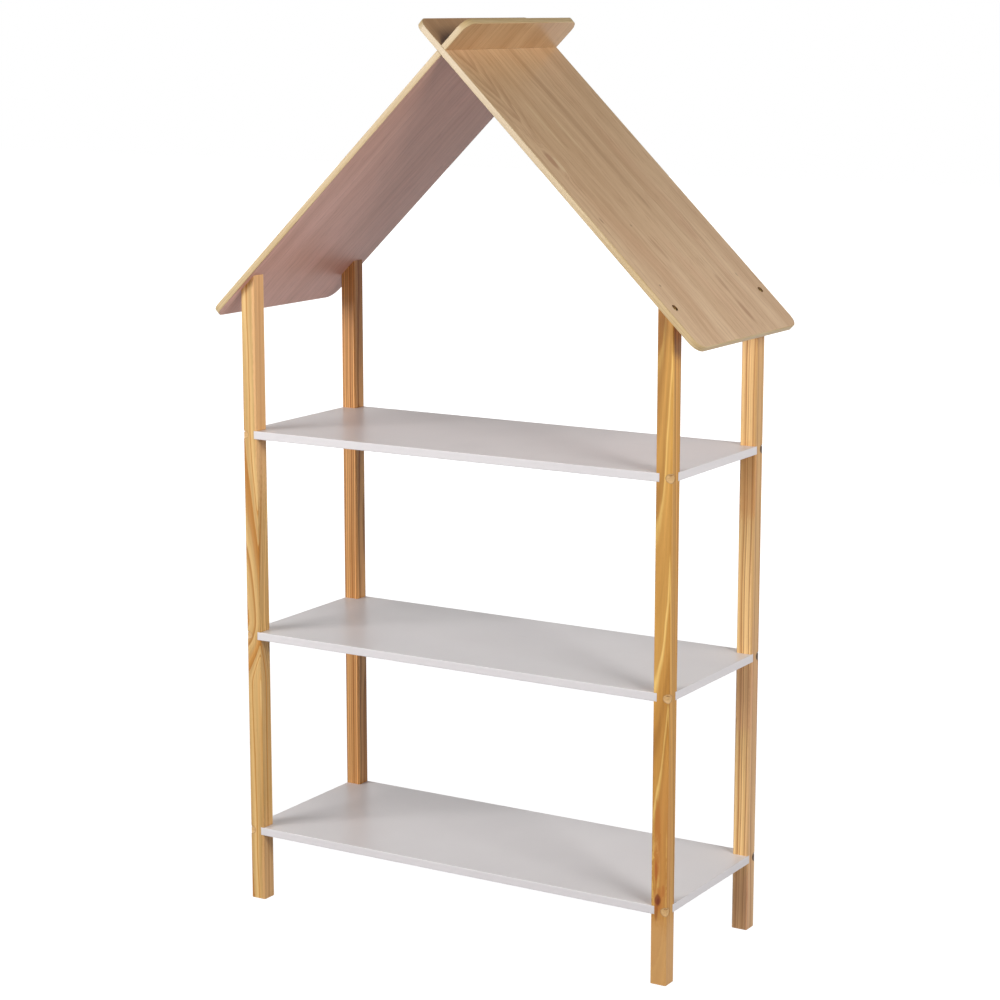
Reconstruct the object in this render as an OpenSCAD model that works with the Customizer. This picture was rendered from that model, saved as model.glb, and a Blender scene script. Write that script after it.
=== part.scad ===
// House-shaped bookcase for a child's room.
// Four square posts carry three shelves and two roof boards that cross at the ridge.
// Each shelf corner is cut at 45 degrees and seats in a notch on the inner side of its post.
// The roof boards are one and the same piece: the second is the first one turned half round,
// and a slot to the middle of each lets them cross in a halving joint.
// Origin: centre of the footprint, on the floor. X runs across, Y from front to back, Z up.

/* [Case] */
// Width across the outer faces of the posts
case_w = 700; // [500:5:1000]
// Depth across the outer faces of the posts
case_d = 278; // [200:1:450]
// Height of the outer face of a post, where the roof rests on it
eaves_h = 915; // [850:5:1200]

/* [Posts] */
// Side of the square section of a post
post_side = 24; // [22:0.5:40]
// Radius on the long edges of a post
post_edge_r = 2; // [1:0.5:4]

/* [Shelves] */
// Thickness of a shelf
shelf_t = 12; // [11:0.5:20]
// Height of the underside of the bottom shelf
first_shelf_z = 100; // [60:5:150]
// Height from one shelf to the next
shelf_pitch = 300; // [240:5:320]
// Leg of the cut across each corner of a shelf, from the corner of the case
corner_cut = 18.6; // [17.6:0.1:21]
// Radius on the edges of a shelf
shelf_edge_r = 1; // [0.5:0.25:3]
// Gap between a shelf and the faces of its notches, apart from the floor that it rests on
notch_gap = 0.1; // [0.05:0.05:0.3]

/* [Roof] */
// Slope of the roof, in degrees
roof_pitch = 44; // [36:1:50]
// Thickness of a roof board
board_t = 9; // [8:0.5:15]
// How far a roof board runs down the slope past the outer face of the posts
eaves_overhang = 55; // [30:1:90]
// How far a roof board runs up the slope past the ridge
ridge_horn = 60.5; // [40:0.5:90]
// How far the roof stands out past the posts at the front and at the back
verge_overhang = 11; // [2:1:40]
// Radius of the corners of a roof board
board_corner_r = 18; // [8:1:25]
// Thickness of the band round the edge of a roof board
edging_t = 1; // [0.5:0.1:2]
// Gap on each side of a board in the slot of the other board
halving_gap = 0.2; // [0.05:0.05:0.5]

/* [Shelf bolts] */
// Radius of the wooden plug that covers a bolt
cap_r = 6.7; // [6.2:0.1:7.2]
// Depth of the inner end of a plug, from the corner of the case
cap_l = 8.4; // [7.8:0.1:9]
// Depth of the face of a plug below the faces of its post
cap_sink = 0.3; // [0.1:0.1:0.8]
// Length of the short slot in the face of a plug
pry_slot_l = 5.5; // [3:0.5:6]
// Width of that slot
pry_slot_w = 1.2; // [0.5:0.1:1.4]
// Height of that slot above the middle of the plug
pry_slot_z = 4; // [2:0.1:4.4]
// Radius of the head of a shelf bolt
bolt_head_r = 5.6; // [4.5:0.1:5.9]
// Thickness of the head of a shelf bolt
bolt_head_t = 1.8; // [1.4:0.1:2.2]
// Radius of the shank of a shelf bolt
bolt_r = 3; // [2:0.25:3.5]
// Distance from the cut corner of a shelf to the middle of its barrel nut
nut_inset = 22; // [16:1:30]
// Radius of a barrel nut
nut_r = 5; // [4.5:0.25:6]
// Length of a barrel nut
nut_l = 8; // [6:0.5:9]
// How far a shelf bolt runs past its barrel nut
bolt_tip = 2; // [1:0.5:5]

/* [Roof screws] */
// Distance from the outer faces of a post to its roof screw
screw_inset = 10; // [8:0.5:11]
// Radius of the recess for the head of a roof screw
recess_r = 5; // [4.6:0.1:6]
// Radius of the head of a roof screw
screw_head_r = 4; // [3.5:0.1:4.5]
// Thickness of the head of a roof screw
screw_head_t = 2.4; // [2:0.1:3]
// Height of the domed part of that head
screw_dome = 1.2; // [0.8:0.1:1.6]
// Depth of the top of that head below the face of the board
screw_sink = 0.6; // [0.2:0.1:3.5]
// Radius of the shank of a roof screw
screw_r = 2; // [1.5:0.25:2.5]
// How far a roof screw runs into the top of its post
screw_bite = 13; // [8:0.5:14]

/* [Fits] */
// Gap round a fastener in its hole
hole_gap = 0.1; // [0.05:0.05:0.3]

/* [Hidden] */
$fn = 72;

// Sides, as signs along X and Y
LEFT = -1;
RIGHT = 1;
FRONT = -1;
BACK = 1;

// Shelf heights, at the underside
shelf_z = [for (level = [0:2]) first_shelf_z + level * shelf_pitch];
BOTTOM = 0;
MIDDLE = 1;
TOP = 2;

// How far cutting shapes run past the faces that they cut
past = 1;

// Centres of the posts, and the ridge, where the undersides of the boards meet
post_x = (case_w - post_side) / 2;
post_y = (case_d - post_side) / 2;
ridge_z = eaves_h + case_w / 2 * tan(roof_pitch);

// Roof board, with lengths measured up the slope from its lower end
screw_s = eaves_overhang + screw_inset / cos(roof_pitch);
screw_y = case_d / 2 - screw_inset;
ridge_s = eaves_overhang + case_w / 2 / cos(roof_pitch);
board_l = ridge_s + ridge_horn;
board_w = case_d + 2 * verge_overhang;

// Stations along the diagonal of a corner, measured inwards from the corner of the case
head_seat = cap_l + bolt_head_t;
notch_face = corner_cut / sqrt(2);
nut_axis = notch_face + nut_inset;
bolt_end = nut_axis + nut_r + bolt_tip;

// Small features of the fasteners
pry_slot_depth = 1.8;
socket_r = 1.9;
socket_depth = 1.1;
slot_w = 1.2;
slot_depth = 1;
tip_taper = 1;
cross_w = 0.9;
cross_l = 3.4;
cross_depth = 1;
dome_steps = 8;
drill_point = 1;

pine = "#D9A35B";
white = "#E4DFDC";
oak = "#BFA27D";
pale_edge = "#DCC48F";
cover = "#E0B877";
steel = "#B8BABC";
zinc = "#C7A55A";

// Rectangle with round corners, centred: two crossed bars and a disc in each corner
module round_rectangle(length, width, radius) {
    square([length - 2 * radius, width], center = true);
    square([length, width - 2 * radius], center = true);
    for (x = [-1, 1], y = [-1, 1])
        translate([x * (length / 2 - radius), y * (width / 2 - radius)])
            circle(radius);
}

// Plan of the case with its corners cut at 45 degrees, grown on all sides
module cut_corner_plan(grow, leg) {
    x = case_w / 2 + grow;
    y = case_d / 2 + grow;
    polygon([
        [x, leg - y], [x, y - leg], [x - leg, y], [leg - x, y],
        [-x, y - leg], [-x, leg - y], [leg - x, -y], [x - leg, -y],
    ]);
}

// Places a shape on the diagonal of a corner: its Z axis runs inwards from the corner of the case
module on_diagonal(side, face, z) {
    translate([side * case_w / 2, face * case_d / 2, z])
        rotate([0, 90, atan2(-face, -side)])
            children();
}

// Places a shape on all four diagonals of a shelf, at half its thickness
module on_shelf_diagonals(level) {
    for (side = [LEFT, RIGHT], face = [FRONT, BACK])
        on_diagonal(side, face, shelf_z[level] + shelf_t / 2)
            children();
}

// Places a shape on a roof slope: X runs up the slope from the lower end, Z out of the roof.
// The right slope is the left one turned half round about the vertical centre line.
module on_slope(side) {
    rotate([0, 0, side == RIGHT ? 180 : 0])
        translate([-case_w / 2, 0, eaves_h])
            rotate([0, -roof_pitch, 0])
                translate([-eaves_overhang, 0, 0])
                    children();
}

// Places a shape where the two screws of a roof board pass its underside
module on_roof_screws() {
    for (face = [FRONT, BACK])
        translate([screw_s, face * screw_y, 0])
            children();
}

// Upright prism in the outline of the house, up to the underside of the roof
module under_roof() {
    rotate([90, 0, 0])
        linear_extrude(case_d + 2 * past, center = true)
            polygon([
                [-case_w / 2 - past, 0],
                [case_w / 2 + past, 0],
                [case_w / 2 + past, eaves_h - past * tan(roof_pitch)],
                [0, ridge_z],
                [-case_w / 2 - past, eaves_h - past * tan(roof_pitch)],
            ]);
}

// Stepped hole through the corner of a post for a plug, a bolt head and its shank
module bolt_passage() {
    translate([0, 0, -past])
        cylinder(r = cap_r + hole_gap, h = head_seat + past);
    cylinder(r = bolt_r + hole_gap, h = notch_face + past);
}

// Post with its notches, bolt holes and slanted top with a screw hole
module post(side, face) {
    difference() {
        intersection() {
            translate([side * post_x, face * post_y, 0])
                linear_extrude(ridge_z)
                    round_rectangle(post_side, post_side, post_edge_r);
            under_roof();
        }
        for (level = [BOTTOM, MIDDLE, TOP]) {
            translate([0, 0, shelf_z[level]])
                linear_extrude(shelf_t + notch_gap)
                    cut_corner_plan(past, corner_cut + 2 * past);
            on_diagonal(side, face, shelf_z[level] + shelf_t / 2)
                bolt_passage();
        }
        on_slope(side)
            on_roof_screws()
                translate([0, 0, -screw_bite - drill_point])
                    cylinder(r = screw_r + hole_gap, h = screw_bite + drill_point + past);
    }
}

// Blank of a shelf, centred: its plan with cut corners, rounded over along all four edges
module shelf_blank() {
    intersection() {
        linear_extrude(shelf_t, center = true)
            cut_corner_plan(0, corner_cut + notch_gap * sqrt(2));
        rotate([90, 0, 0])
            linear_extrude(case_d, center = true)
                round_rectangle(case_w, shelf_t, shelf_edge_r);
        rotate([90, 0, 90])
            linear_extrude(case_w, center = true)
                round_rectangle(case_d, shelf_t, shelf_edge_r);
    }
}

// Shelf with a blind hole for a barrel nut and a bolt hole at each corner
module shelf(level) {
    difference() {
        translate([0, 0, shelf_z[level] + shelf_t / 2])
            shelf_blank();
        on_shelf_diagonals(level) {
            cylinder(r = bolt_r + hole_gap, h = bolt_end + drill_point);
            translate([0, 0, nut_axis])
                rotate([0, 90, 0])
                    translate([0, 0, -nut_l / 2 - hole_gap])
                        cylinder(r = nut_r + hole_gap, h = (nut_l + shelf_t) / 2 + hole_gap + past);
        }
    }
}

// Outline of a roof board, drawn in by the given distance
module board_plan(inset) {
    translate([board_l / 2, 0])
        round_rectangle(board_l - 2 * inset, board_w - 2 * inset, board_corner_r - inset);
}

// Half of the crossing: the space that the other board takes, from the front to the middle
module halving_slot() {
    reach = 4 * board_t;
    translate([ridge_s, 0, 0])
        rotate([0, 2 * roof_pitch - 90, 0])
            translate([-halving_gap, -board_w / 2 - past, -reach])
                cube([board_t + 2 * halving_gap, board_w / 2 + past + halving_gap, 2 * reach]);
}

// Holes for the two screws of a roof board, with the recesses for their heads
module screw_passages() {
    on_roof_screws() {
        translate([0, 0, -past])
            cylinder(r = screw_r + hole_gap, h = board_t);
        translate([0, 0, board_t - screw_sink - screw_head_t])
            cylinder(r = recess_r, h = screw_sink + screw_head_t + past);
    }
}

// Core of a roof board, inside its edge band
module roof_board() {
    difference() {
        linear_extrude(board_t)
            board_plan(edging_t);
        halving_slot();
        screw_passages();
    }
}

// Band round the edge of a roof board, open where the slot comes through
module roof_edging() {
    difference() {
        linear_extrude(board_t)
            difference() {
                board_plan(0);
                board_plan(edging_t);
            }
        halving_slot();
    }
}

// Round plug with a short slot near its top, its face cut to the corner of its post
module cap(side, face, level) {
    middle_z = shelf_z[level] + shelf_t / 2;
    intersection() {
        on_diagonal(side, face, middle_z)
            difference() {
                translate([0, 0, -past])
                    cylinder(r = cap_r, h = cap_l + past);
                translate([-pry_slot_z - pry_slot_w / 2, -pry_slot_l / 2, -2 * past])
                    cube([pry_slot_w, pry_slot_l, pry_slot_l / 2 + pry_slot_depth + 2 * past]);
            }
        translate([side * post_x, face * post_y, middle_z - cap_r - past])
            linear_extrude(2 * (cap_r + past))
                round_rectangle(post_side - 2 * cap_sink, post_side - 2 * cap_sink, post_edge_r - cap_sink);
    }
}

// Shelf bolt: flat head with a hexagon socket, plain shank and tapered tip
module bolt() {
    difference() {
        union() {
            translate([0, 0, cap_l])
                cylinder(r = bolt_head_r, h = bolt_head_t);
            translate([0, 0, head_seat])
                cylinder(r = bolt_r, h = bolt_end - tip_taper - head_seat);
            translate([0, 0, bolt_end - tip_taper])
                cylinder(r1 = bolt_r, r2 = bolt_r - tip_taper / 2, h = tip_taper);
        }
        translate([0, 0, cap_l - past])
            cylinder(r = socket_r, h = past + socket_depth, $fn = 6);
    }
}

// Barrel nut: round bar across the bolt, with a cross hole and a slot in its lower end
module barrel_nut() {
    translate([0, 0, nut_axis])
        difference() {
            rotate([0, 90, 0])
                cylinder(r = nut_r, h = nut_l, center = true);
            cylinder(r = bolt_r + hole_gap, h = 2 * (nut_r + past), center = true);
            translate([nut_l / 2 - slot_depth, -slot_w / 2, -nut_r - past])
                cube([slot_depth + past, slot_w, 2 * (nut_r + past)]);
        }
}

// Roof screw: domed head with a cross recess, plain shank and pointed tip
module roof_screw() {
    shank_l = board_t - screw_sink - screw_head_t + screw_bite;
    dome_r = (pow(screw_head_r, 2) + pow(screw_dome, 2)) / (2 * screw_dome);
    difference() {
        translate([0, 0, board_t - screw_sink])
            rotate_extrude()
                polygon([
                    for (step = [0:dome_steps])
                        let (x = screw_head_r * step / dome_steps)
                            [x, sqrt(pow(dome_r, 2) - pow(x, 2)) - dome_r],
                    [screw_head_r, -screw_head_t],
                    [screw_r, -screw_head_t],
                    [screw_r, -screw_head_t - shank_l + 2 * tip_taper],
                    [0, -screw_head_t - shank_l],
                ]);
        for (turn = [0, 90])
            rotate([0, 0, turn])
                translate([-cross_l / 2, -cross_w / 2, board_t - screw_sink - cross_depth])
                    cube([cross_l, cross_w, cross_depth + past]);
    }
}

module post_front_left() { color(pine) post(LEFT, FRONT); }
module post_front_right() { color(pine) post(RIGHT, FRONT); }
module post_back_left() { color(pine) post(LEFT, BACK); }
module post_back_right() { color(pine) post(RIGHT, BACK); }
module shelf_bottom() { color(white) shelf(BOTTOM); }
module shelf_middle() { color(white) shelf(MIDDLE); }
module shelf_top() { color(white) shelf(TOP); }
module roof_board_left() { color(oak) on_slope(LEFT) roof_board(); }
module roof_board_right() { color(oak) on_slope(RIGHT) roof_board(); }
module roof_edging_left() { color(pale_edge) on_slope(LEFT) roof_edging(); }
module roof_edging_right() { color(pale_edge) on_slope(RIGHT) roof_edging(); }
module caps(level) { color(cover) for (side = [LEFT, RIGHT], face = [FRONT, BACK]) cap(side, face, level); }
module caps_bottom_shelf() { caps(BOTTOM); }
module caps_middle_shelf() { caps(MIDDLE); }
module caps_top_shelf() { caps(TOP); }
module bolts(level) { color(steel) on_shelf_diagonals(level) bolt(); }
module bolts_bottom_shelf() { bolts(BOTTOM); }
module bolts_middle_shelf() { bolts(MIDDLE); }
module bolts_top_shelf() { bolts(TOP); }
module barrel_nuts(level) { color(steel) on_shelf_diagonals(level) barrel_nut(); }
module barrel_nuts_bottom_shelf() { barrel_nuts(BOTTOM); }
module barrel_nuts_middle_shelf() { barrel_nuts(MIDDLE); }
module barrel_nuts_top_shelf() { barrel_nuts(TOP); }
module roof_screws(side) { color(zinc) on_slope(side) on_roof_screws() roof_screw(); }
module roof_screws_left() { roof_screws(LEFT); }
module roof_screws_right() { roof_screws(RIGHT); }

post_front_left();
post_front_right();
post_back_left();
post_back_right();
shelf_bottom();
shelf_middle();
shelf_top();
roof_board_left();
roof_board_right();
roof_edging_left();
roof_edging_right();
caps_bottom_shelf();
caps_middle_shelf();
caps_top_shelf();
bolts_bottom_shelf();
bolts_middle_shelf();
bolts_top_shelf();
barrel_nuts_bottom_shelf();
barrel_nuts_middle_shelf();
barrel_nuts_top_shelf();
roof_screws_left();
roof_screws_right();
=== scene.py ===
"""Looks of a house-shaped bookcase: pine posts, white shelves and a wood-grain gable roof.

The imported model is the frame. Its nodes keep their shapes and are dressed here. The edge bands of
the roof are modelled anew, with the soft rims that the real ones have.
Lengths are metres. X runs across, Y from front to back and Z up, as in the frame.
"""

import logging
import math
from dataclasses import dataclass
from enum import Enum
from typing import Sequence, Union

import bmesh
import bpy
from mathutils import Matrix, Vector


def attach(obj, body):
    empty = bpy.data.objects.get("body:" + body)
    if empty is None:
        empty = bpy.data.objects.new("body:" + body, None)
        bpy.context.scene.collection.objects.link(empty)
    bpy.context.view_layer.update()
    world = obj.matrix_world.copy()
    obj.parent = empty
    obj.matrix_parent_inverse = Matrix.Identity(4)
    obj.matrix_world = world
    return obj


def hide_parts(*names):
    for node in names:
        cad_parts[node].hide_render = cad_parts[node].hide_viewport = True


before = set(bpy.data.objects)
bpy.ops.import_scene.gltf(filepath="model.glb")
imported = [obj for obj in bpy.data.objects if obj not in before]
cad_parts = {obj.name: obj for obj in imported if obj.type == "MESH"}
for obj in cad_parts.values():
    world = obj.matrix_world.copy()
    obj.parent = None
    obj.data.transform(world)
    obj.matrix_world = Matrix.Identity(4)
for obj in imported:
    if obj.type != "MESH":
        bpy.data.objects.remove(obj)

LOG = logging.getLogger("bookcase")
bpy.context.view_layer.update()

MM = 0.001

Triple = tuple[float, float, float]
Shade = tuple[float, float, float, float]
Socket = bpy.types.NodeSocket
Value = Union[float, Sequence[float], Socket]

WHITE = (1, 1, 1, 1)
KNOT_BROWN = (112, 44, 14)
# Where the edge of a mark lies, in shares of its reach, and how far it wavers
MARK_EDGE = 1.4
MARK_WAVER = 0.8


class Side(Enum):
    """Left and right of the bookcase, as signs along X."""

    LEFT = -1
    RIGHT = 1


def tone(red: float, green: float, blue: float) -> Shade:
    """Turns a colour as it looks on a screen, 0 to 255, into the linear colour that shaders use.

    Args:
        red: Red, 0 to 255.
        green: Green, 0 to 255.
        blue: Blue, 0 to 255.

    Returns:
        The linear colour with an alpha of 1.
    """
    linear = []
    for part in (red, green, blue):
        share = part / 255
        linear.append(share / 12.92 if share <= 0.04045 else ((share + 0.055) / 1.055) ** 2.4)
    return (linear[0], linear[1], linear[2], 1.0)


class Graph:
    """The node tree of a material or of the world, with a short method for each kind of node in use."""

    def __init__(self, owner: Union[bpy.types.Material, bpy.types.World]) -> None:
        """Takes over a node tree and empties it.

        Args:
            owner: Material or world that the tree belongs to.
        """
        self.owner = owner
        owner.use_nodes = True
        self.tree = owner.node_tree
        self.tree.nodes.clear()

    def node(self, kind: str, **settings: object) -> bpy.types.Node:
        """Adds a node.

        Args:
            kind: Blender's name of the node type.
            **settings: Properties to set on the node.

        Returns:
            The new node.
        """
        made = self.tree.nodes.new(kind)
        for name, value in settings.items():
            setattr(made, name, value)
        return made

    def feed(self, socket: Socket, value: Value) -> None:
        """Links a socket to another socket, or sets its constant.

        Args:
            socket: Input to fill.
            value: Output socket, number, vector or colour.
        """
        if isinstance(value, Socket):
            self.tree.links.new(value, socket)
        else:
            socket.default_value = value

    def math(self, operation: str, *values: Value) -> Socket:
        """Result of a math node.

        Args:
            operation: Name of the operation.
            *values: Its operands.

        Returns:
            The resulting number.
        """
        made = self.node("ShaderNodeMath", operation=operation)
        for socket, value in zip(made.inputs, values):
            self.feed(socket, value)
        return made.outputs[0]

    def vector(self, operation: str, *values: Value) -> Socket:
        """Result of a vector math node.

        Args:
            operation: Name of the operation.
            *values: Its operands.

        Returns:
            The resulting vector, or a number for a length or a dot product.
        """
        made = self.node("ShaderNodeVectorMath", operation=operation)
        for socket, value in zip(made.inputs, values):
            self.feed(socket, value)
        gives_number = operation in ("LENGTH", "DOT_PRODUCT")
        return made.outputs["Value" if gives_number else "Vector"]

    def times(self, first: Value, second: Value) -> Socket:
        """Product of two numbers."""
        return self.math("MULTIPLY", first, second)

    def scaled(self, value: Value, factor: Value) -> Socket:
        """A vector or colour times a number."""
        made = self.node("ShaderNodeVectorMath", operation="SCALE")
        self.feed(made.inputs[0], value)
        self.feed(made.inputs["Scale"], factor)
        return made.outputs["Vector"]

    def toned(self, colour: Value, shade: Value, warmth: float) -> Socket:
        """Darkens or lightens wood, warmer where it is darker.

        Args:
            colour: Colour of the wood.
            shade: Factor of its lightness.
            warmth: How much more the blue part follows the factor than the red part does. The green
                part lies between them.

        Returns:
            The new colour.
        """
        green_share = 0.4
        green = self.math("POWER", shade, 1 + warmth * green_share)
        blue = self.math("POWER", shade, 1 + warmth)
        return self.vector("MULTIPLY", colour, self.combine(shade, green, blue))

    def combine(self, x: Value, y: Value, z: Value) -> Socket:
        """A vector from three numbers."""
        made = self.node("ShaderNodeCombineXYZ")
        for socket, value in zip(made.inputs, (x, y, z)):
            self.feed(socket, value)
        return made.outputs[0]

    def part(self, vector: Value, axis: str) -> Socket:
        """One component of a vector, by the letter of its axis."""
        made = self.node("ShaderNodeSeparateXYZ")
        self.feed(made.inputs[0], vector)
        return made.outputs[axis]

    def place(self) -> Socket:
        """Place of the shaded point in the frame of its object, in metres."""
        return self.node("ShaderNodeTexCoord").outputs["Object"]

    def noise(self, place: Value, scales: Triple, detail: float = 2.0, roughness: float = 0.5) -> Socket:
        """Noise between 0 and 1.

        Args:
            place: Place in the pattern.
            scales: Features per unit along each axis.
            detail: Number of finer layers.
            roughness: Strength of the finer layers.

        Returns:
            The noise.
        """
        return self._noise(place, scales, detail, roughness).outputs[0]

    def noise_vector(self, place: Value, scales: Triple, detail: float) -> Socket:
        """Three independent noises, each about -0.5 to 0.5, for shifting a pattern."""
        cloud = self._noise(place, scales, detail, 0.5).outputs["Color"]
        return self.vector("SUBTRACT", cloud, (0.5, 0.5, 0.5))

    def _noise(self, place: Value, scales: Triple, detail: float, roughness: float) -> bpy.types.Node:
        """A noise node on a stretched place."""
        made = self.node("ShaderNodeTexNoise")
        self.feed(made.inputs["Vector"], self.vector("MULTIPLY", place, scales))
        made.inputs["Scale"].default_value = 1.0
        made.inputs["Detail"].default_value = detail
        made.inputs["Roughness"].default_value = roughness
        return made

    def smooth(self, value: Value, low: Value, high: Value) -> Socket:
        """Smooth step from 0 at low to 1 at high."""
        made = self.node("ShaderNodeMapRange", interpolation_type="SMOOTHSTEP")
        for socket, given in zip(made.inputs, (value, low, high)):
            self.feed(socket, given)
        return made.outputs[0]

    def span(self, value: Value, low: float, high: float) -> Socket:
        """A share from 0 to 1 stretched to run from low to high."""
        return self.math("MULTIPLY_ADD", value, high - low, low)

    def mix(self, share: Value, first: Value, second: Value) -> Socket:
        """Blend of two colours.

        Args:
            share: Share of the second colour.
            first: Colour at 0.
            second: Colour at 1.

        Returns:
            The blended colour.
        """
        made = self.node("ShaderNodeMix", data_type="RGBA", clamp_factor=True)
        self.feed(made.inputs[0], share)
        self.feed(made.inputs[6], first)
        self.feed(made.inputs[7], second)
        return made.outputs[2]

    def stain(self, colour: Value, share: Value, strength: float, own: Triple) -> Socket:
        """Lays a second colour over a first one.

        Args:
            colour: The first colour.
            share: Where the second one lies, 0 to 1.
            strength: Its share at most.
            own: The second colour as it looks on a screen, 0 to 255.

        Returns:
            The blended colour.
        """
        return self.mix(self.times(share, strength), colour, tone(*own))

    def finish(self, colour: Value, roughness: Value, height: Value, relief: float,
               **constants: float) -> bpy.types.Material:
        """Closes the tree with a Principled shader.

        Args:
            colour: Base colour.
            roughness: Roughness.
            height: Height for the bump, 0 to 1.
            relief: Height of the bump in metres.
            **constants: Other sockets of the shader, by name with _ for a space.

        Returns:
            The finished material.
        """
        shader = self.node("ShaderNodeBsdfPrincipled")
        self.feed(shader.inputs["Base Color"], colour)
        self.feed(shader.inputs["Roughness"], roughness)
        for name, value in constants.items():
            shader.inputs[name.replace("_", " ")].default_value = value
        bump = self.node("ShaderNodeBump")
        bump.inputs["Strength"].default_value = 1.0
        bump.inputs["Distance"].default_value = relief
        self.feed(bump.inputs["Height"], height)
        self.tree.links.new(bump.outputs[0], shader.inputs["Normal"])
        output = self.node("ShaderNodeOutputMaterial")
        self.tree.links.new(shader.outputs[0], output.inputs["Surface"])
        return self.owner


@dataclass(frozen=True)
class Mark:
    """A knot, a streak of resin, a swell in the grain or a patch of tint, on a face of a post or a roof
    board. Some patches on the posts are painted light, others painted shade.

    Attributes:
        centre: Its middle, in the coordinates of the wood's pattern.
        reach: Half of its size along each axis.
        tint: How much of its own colour it takes, 0 to 1.
        push: How far the growth rings bend round it.
        colour: Its own colour.
    """

    centre: Triple
    reach: Triple
    tint: float = 0.0
    push: float = 0.0
    colour: Triple = KNOT_BROWN

    def nearness(self, graph: Graph, place: Value, ragged: Value, fall: float) -> Socket:
        """1 at the middle of the mark and 0 well outside it.

        Args:
            graph: Tree of the material.
            place: Place in the pattern.
            ragged: Noise of 0 to 1 that makes the outline uneven.
            fall: Width of the soft edge, as a share of the reach.

        Returns:
            The nearness.
        """
        offset = graph.vector("SUBTRACT", place, self.centre)
        inverse = tuple(1 / size for size in self.reach)
        distance = graph.vector("LENGTH", graph.vector("MULTIPLY", offset, inverse))
        uneven = graph.math("MULTIPLY_ADD", ragged, MARK_WAVER, distance)
        return graph.smooth(uneven, MARK_EDGE + fall, MARK_EDGE)

    def bend(self, graph: Graph, across: Value, place: Value, ragged: Value, fall: float) -> Value:
        """Shifts the grain round the mark, if the mark pushes it.

        Args:
            graph: Tree of the material.
            across: Place across the grain.
            place: Place in the pattern.
            ragged: Noise of 0 to 1 that makes the outline uneven.
            fall: Width of the soft edge, as a share of the reach.

        Returns:
            The new place across the grain.
        """
        if not self.push:
            return across
        return graph.math("MULTIPLY_ADD", self.nearness(graph, place, ragged, fall), self.push, across)

    def colour_over(self, graph: Graph, colour: Value, place: Value, ragged: Value, fall: float) -> Value:
        """Lays the mark's own colour over the wood, if it has a tint.

        Args:
            graph: Tree of the material.
            colour: Colour of the wood.
            place: Place in the pattern.
            ragged: Noise of 0 to 1 that makes the outline uneven.
            fall: Width of the soft edge, as a share of the reach.

        Returns:
            The new colour.
        """
        if not self.tint:
            return colour
        return graph.stain(colour, self.nearness(graph, place, ragged, fall), self.tint, self.colour)


@dataclass(frozen=True)
class Bend:
    """A stretch of a post in which the growth rings drift sideways.

    Attributes:
        low: Height at which the drift starts.
        high: Height at which it ends.
        shift: How far the rings have moved at its upper end.
    """

    low: float
    high: float
    shift: float


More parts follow.
